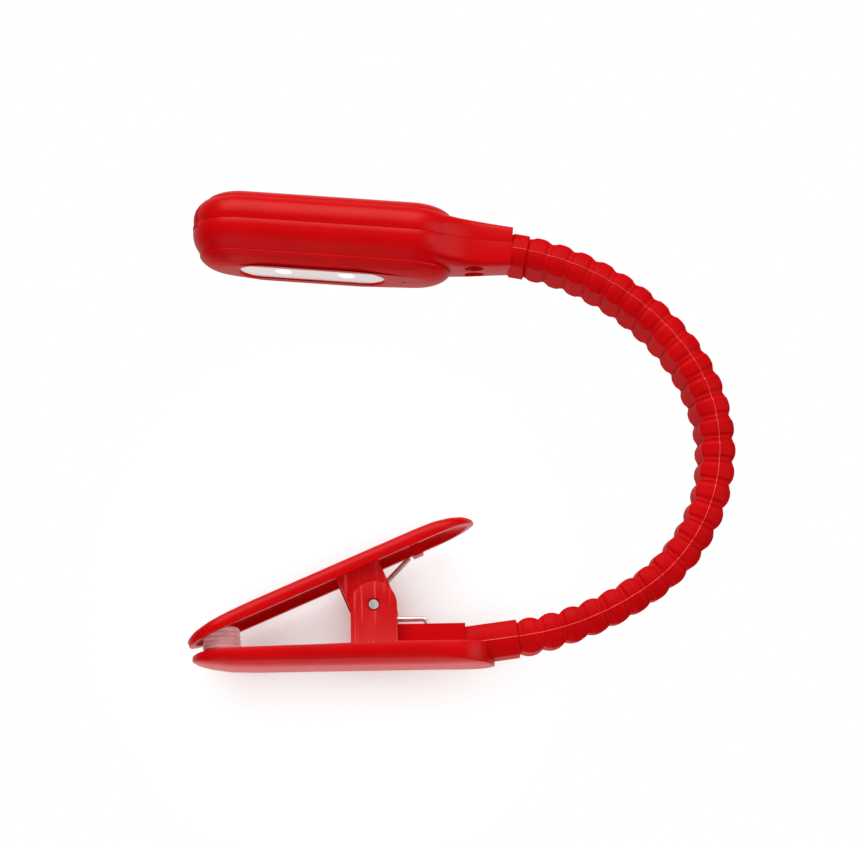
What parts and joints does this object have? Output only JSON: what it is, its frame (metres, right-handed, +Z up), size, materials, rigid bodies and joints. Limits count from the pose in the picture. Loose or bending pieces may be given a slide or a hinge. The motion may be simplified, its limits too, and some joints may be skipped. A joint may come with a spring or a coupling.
{
  "type": "clip-on book light",
  "caption": "Rechargeable reading light: a round-ended LED head on a beaded bendable arm, carried by a spring clip with a rubber grip pad.",
  "frame": {"origin": "on the flat band under the lower jaw, straight below the clip's hinge pin", "axes": "+Z up; the clip's mouth faces -X and the arm leaves it towards +X; +Y runs along the hinge pin, across the light"},
  "size_m": [0.1173, 0.022, 0.1045],
  "materials": {
    "body_plastic": "satin-gloss moulded ABS, red",
    "arm_sleeve": "satin soft moulded elastomer, red",
    "soft_cover": "satin soft elastomer, red",
    "clear_rubber": "milky translucent soft silicone that takes the red of the jaws",
    "steel": "plated steel",
    "bright_steel": "bright nickel-plated steel",
    "core_wire": "soft drawn wire",
    "diffuser": "frosted white diffuser",
    "white_plastic": "matt white",
    "board": "green solder mask",
    "led": "phosphor-covered chip",
    "light_pipe": "clear light guide, dark while unlit",
    "battery_foil": "satin pouch foil",
    "black_plastic": "matt black"
  },
  "bodies": {
    "base": {"lower_jaw": "body_plastic", "arm_socket_cover": "body_plastic", "core_ferrule": "steel", "arm_lower_end": "arm_sleeve", "core_wire_root": "core_wire", "hinge_pin": "bright_steel", "torsion_spring": "bright_steel"},
    "lever": {"upper_jaw": "body_plastic", "grip_pad": "clear_rubber"},
    "span_1": {"arm_span_1": "arm_sleeve", "core_wire_1": "core_wire"},
    "span_2": {"arm_span_2": "arm_sleeve", "core_wire_2": "core_wire"},
    "span_3": {"arm_span_3": "arm_sleeve", "core_wire_3": "core_wire"},
    "span_4": {"arm_span_4": "arm_sleeve", "core_wire_4": "core_wire"},
    "span_5": {"arm_span_5": "arm_sleeve", "core_wire_5": "core_wire"},
    "lamp_head": {"head_upper_shell": "body_plastic", "head_lower_shell": "body_plastic", "bottom_bezel": "body_plastic", "diffuser_lens": "diffuser", "reflector_tray": "white_plastic", "circuit_board": "board", "reading_leds": "led", "charge_indicator_led": "led", "indicator_light_pipe": "light_pipe", "battery": "battery_foil", "tact_switch": "black_plastic", "charge_port": "steel", "core_anchor_plate": "steel", "neck_screws": "steel", "arm_upper_end": "arm_sleeve", "core_wire_head": "core_wire"},
    "push_cover": {"push_cover": "body_plastic", "switch_stem": "black_plastic"},
    "port_cover": {"port_cover": "soft_cover"}
  },
  "joints": [
    {"name": "jaw_open", "type": "hinge", "parent": "base", "child": "lever", "pos_m": [0, 0, 0.0124], "axis": [0, 1, 0], "range_deg": [0, 30], "stiffness_Nm_per_rad": 0.06, "springref_deg": -20.05, "deforming": ["torsion_spring"]},
    {"name": "arm_root_swing", "type": "hinge", "parent": "base", "child": "span_1", "pos_m": [0.03285, 0, 0.00598], "axis": [-0.1597, 0, 0.9872], "range_deg": [-25, 25]},
    {"name": "arm_bend_1", "type": "hinge", "parent": "span_1", "child": "span_2", "pos_m": [0.05082, 0, 0.0118], "axis": [0, -1, 0], "range_deg": [-30, 8]},
    {"name": "arm_bend_2", "type": "hinge", "parent": "span_2", "child": "span_3", "pos_m": [0.07072, 0, 0.03127], "axis": [0, -1, 0], "range_deg": [-30, 8]},
    {"name": "arm_bend_3", "type": "hinge", "parent": "span_3", "child": "span_4", "pos_m": [0.07291, 0, 0.05445], "axis": [0, -1, 0], "range_deg": [-30, 8]},
    {"name": "arm_bend_4", "type": "hinge", "parent": "span_4", "child": "span_5", "pos_m": [0.05738, 0, 0.07768], "axis": [0, -1, 0], "range_deg": [-30, 8]},
    {"name": "arm_head_swing", "type": "hinge", "parent": "span_5", "child": "lamp_head", "pos_m": [0.03649, 0, 0.0885], "axis": [-0.2613, 0, -0.9653], "range_deg": [-25, 25]},
    {"name": "cover_press", "type": "slide", "parent": "lamp_head", "child": "push_cover", "axis": [-0.0872, 0, -0.9962], "range_m": [0, 0.00035], "stiffness_N_per_m": 800, "springref_m": -0.0002},
    {"name": "port_cover_open", "type": "hinge", "parent": "lamp_head", "child": "port_cover", "pos_m": [-0.03818, 0, 0.09592], "axis": [0, -1, 0], "range_deg": [0, 95]}
  ]
}
